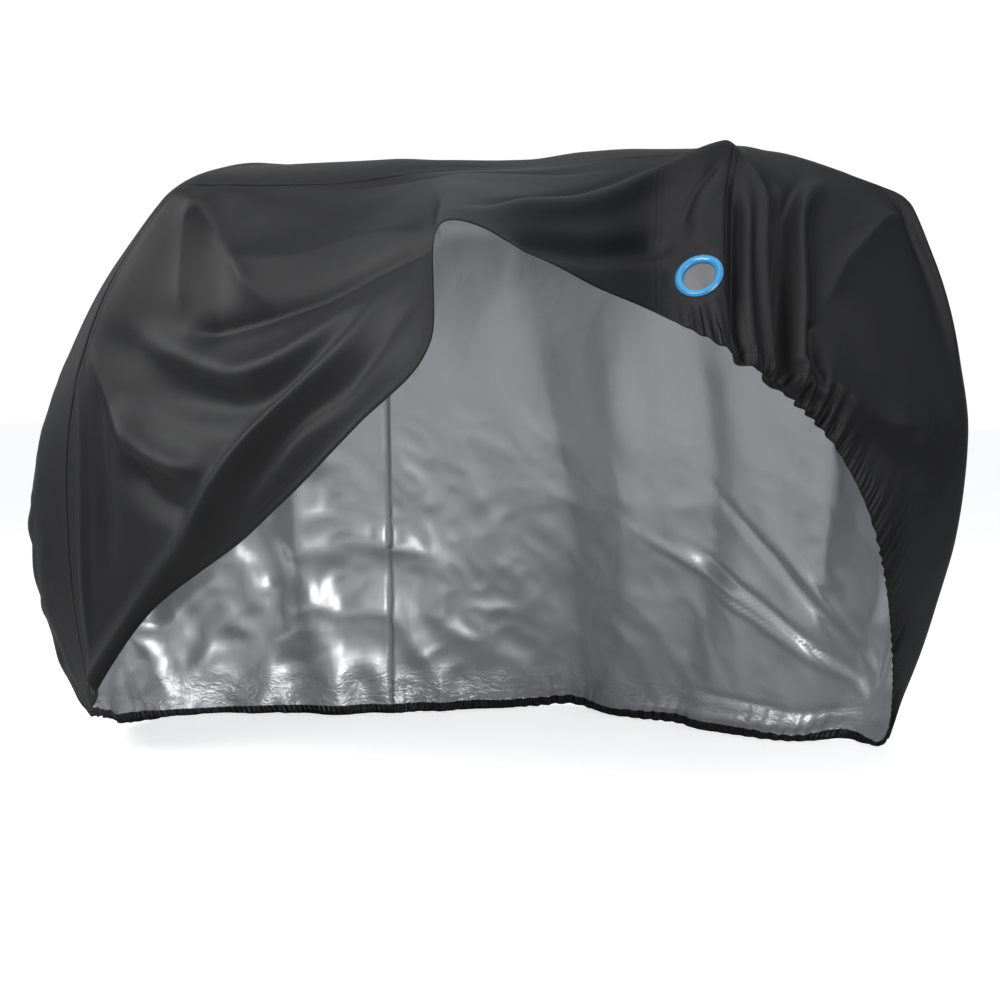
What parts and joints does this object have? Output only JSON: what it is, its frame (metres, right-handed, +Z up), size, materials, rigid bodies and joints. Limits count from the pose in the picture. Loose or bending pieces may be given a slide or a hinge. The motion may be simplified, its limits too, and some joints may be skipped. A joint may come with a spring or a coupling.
{
  "type": "bicycle cover",
  "caption": "Black fitted cover for bicycles, draped with its near side lifted to show the silver inside; elastic hem and a blue-ringed eyelet.",
  "frame": {"origin": "on the underside of the top, on its ridge, where the load carries the cloth", "axes": "+X along the length towards the front end, +Y towards the far side, +Z up"},
  "size_m": [1.675, 1.2143, 1.1059],
  "materials": {
    "coated_cloth": "satin, with a silver coating inside",
    "ring_plastic": "gloss"
  },
  "bodies": {
    "root": {"near_side": "coated_cloth", "eyelet_strip": "coated_cloth", "far_side": "coated_cloth", "centre_band": "coated_cloth", "eyelet_ring": "ring_plastic"}
  },
  "joints": []
}
